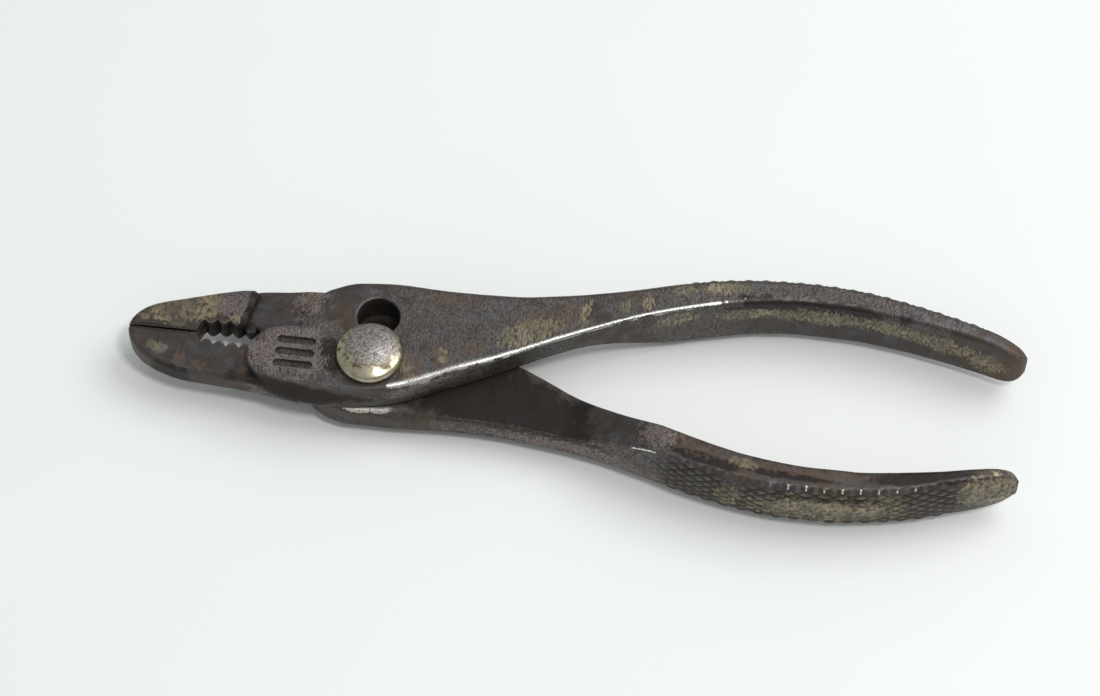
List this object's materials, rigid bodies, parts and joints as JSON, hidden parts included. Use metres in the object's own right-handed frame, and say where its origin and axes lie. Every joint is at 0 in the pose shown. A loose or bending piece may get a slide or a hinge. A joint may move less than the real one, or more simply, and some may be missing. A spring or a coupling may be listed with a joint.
{
  "type": "slip-joint pliers",
  "caption": "Thin-nose slip-joint pliers with a toothed pipe grip, a domed pivot bolt in a figure-eight slot and bowed knurled handles.",
  "frame": {"origin": "on the bolt's axis in the narrow setting, at the outer face of the nut and the flush bolt end", "axes": "+X along the tool from the bolt towards the handle ends, +Y across the tool towards the front half's handle, +Z along the bolt towards its domed head"},
  "size_m": [0.152, 0.0415, 0.0156],
  "materials": {
    "front_steel": "worn nickel plate over dark pitted forged steel",
    "rear_steel": "worn nickel plate over brown pitted forged steel",
    "bolt_nickel": "yellowed nickel plate, pitted in the middle",
    "nut_steel": "dark oxidised steel"
  },
  "bodies": {
    "front": {"front_half": "front_steel"},
    "pivot": {"pivot_bolt": "bolt_nickel", "pivot_nut": "nut_steel"},
    "rear": {"rear_half": "rear_steel"}
  },
  "joints": [
    {"name": "slip", "type": "slide", "parent": "front", "child": "pivot", "axis": [0.0456, 0.999, 0], "range_m": [0, 0.00767]},
    {"name": "open", "type": "hinge", "parent": "pivot", "child": "rear", "pos_m": [0, 0, 0.00745], "axis": [0, 0, -1], "range_deg": [0, 60]}
  ]
}
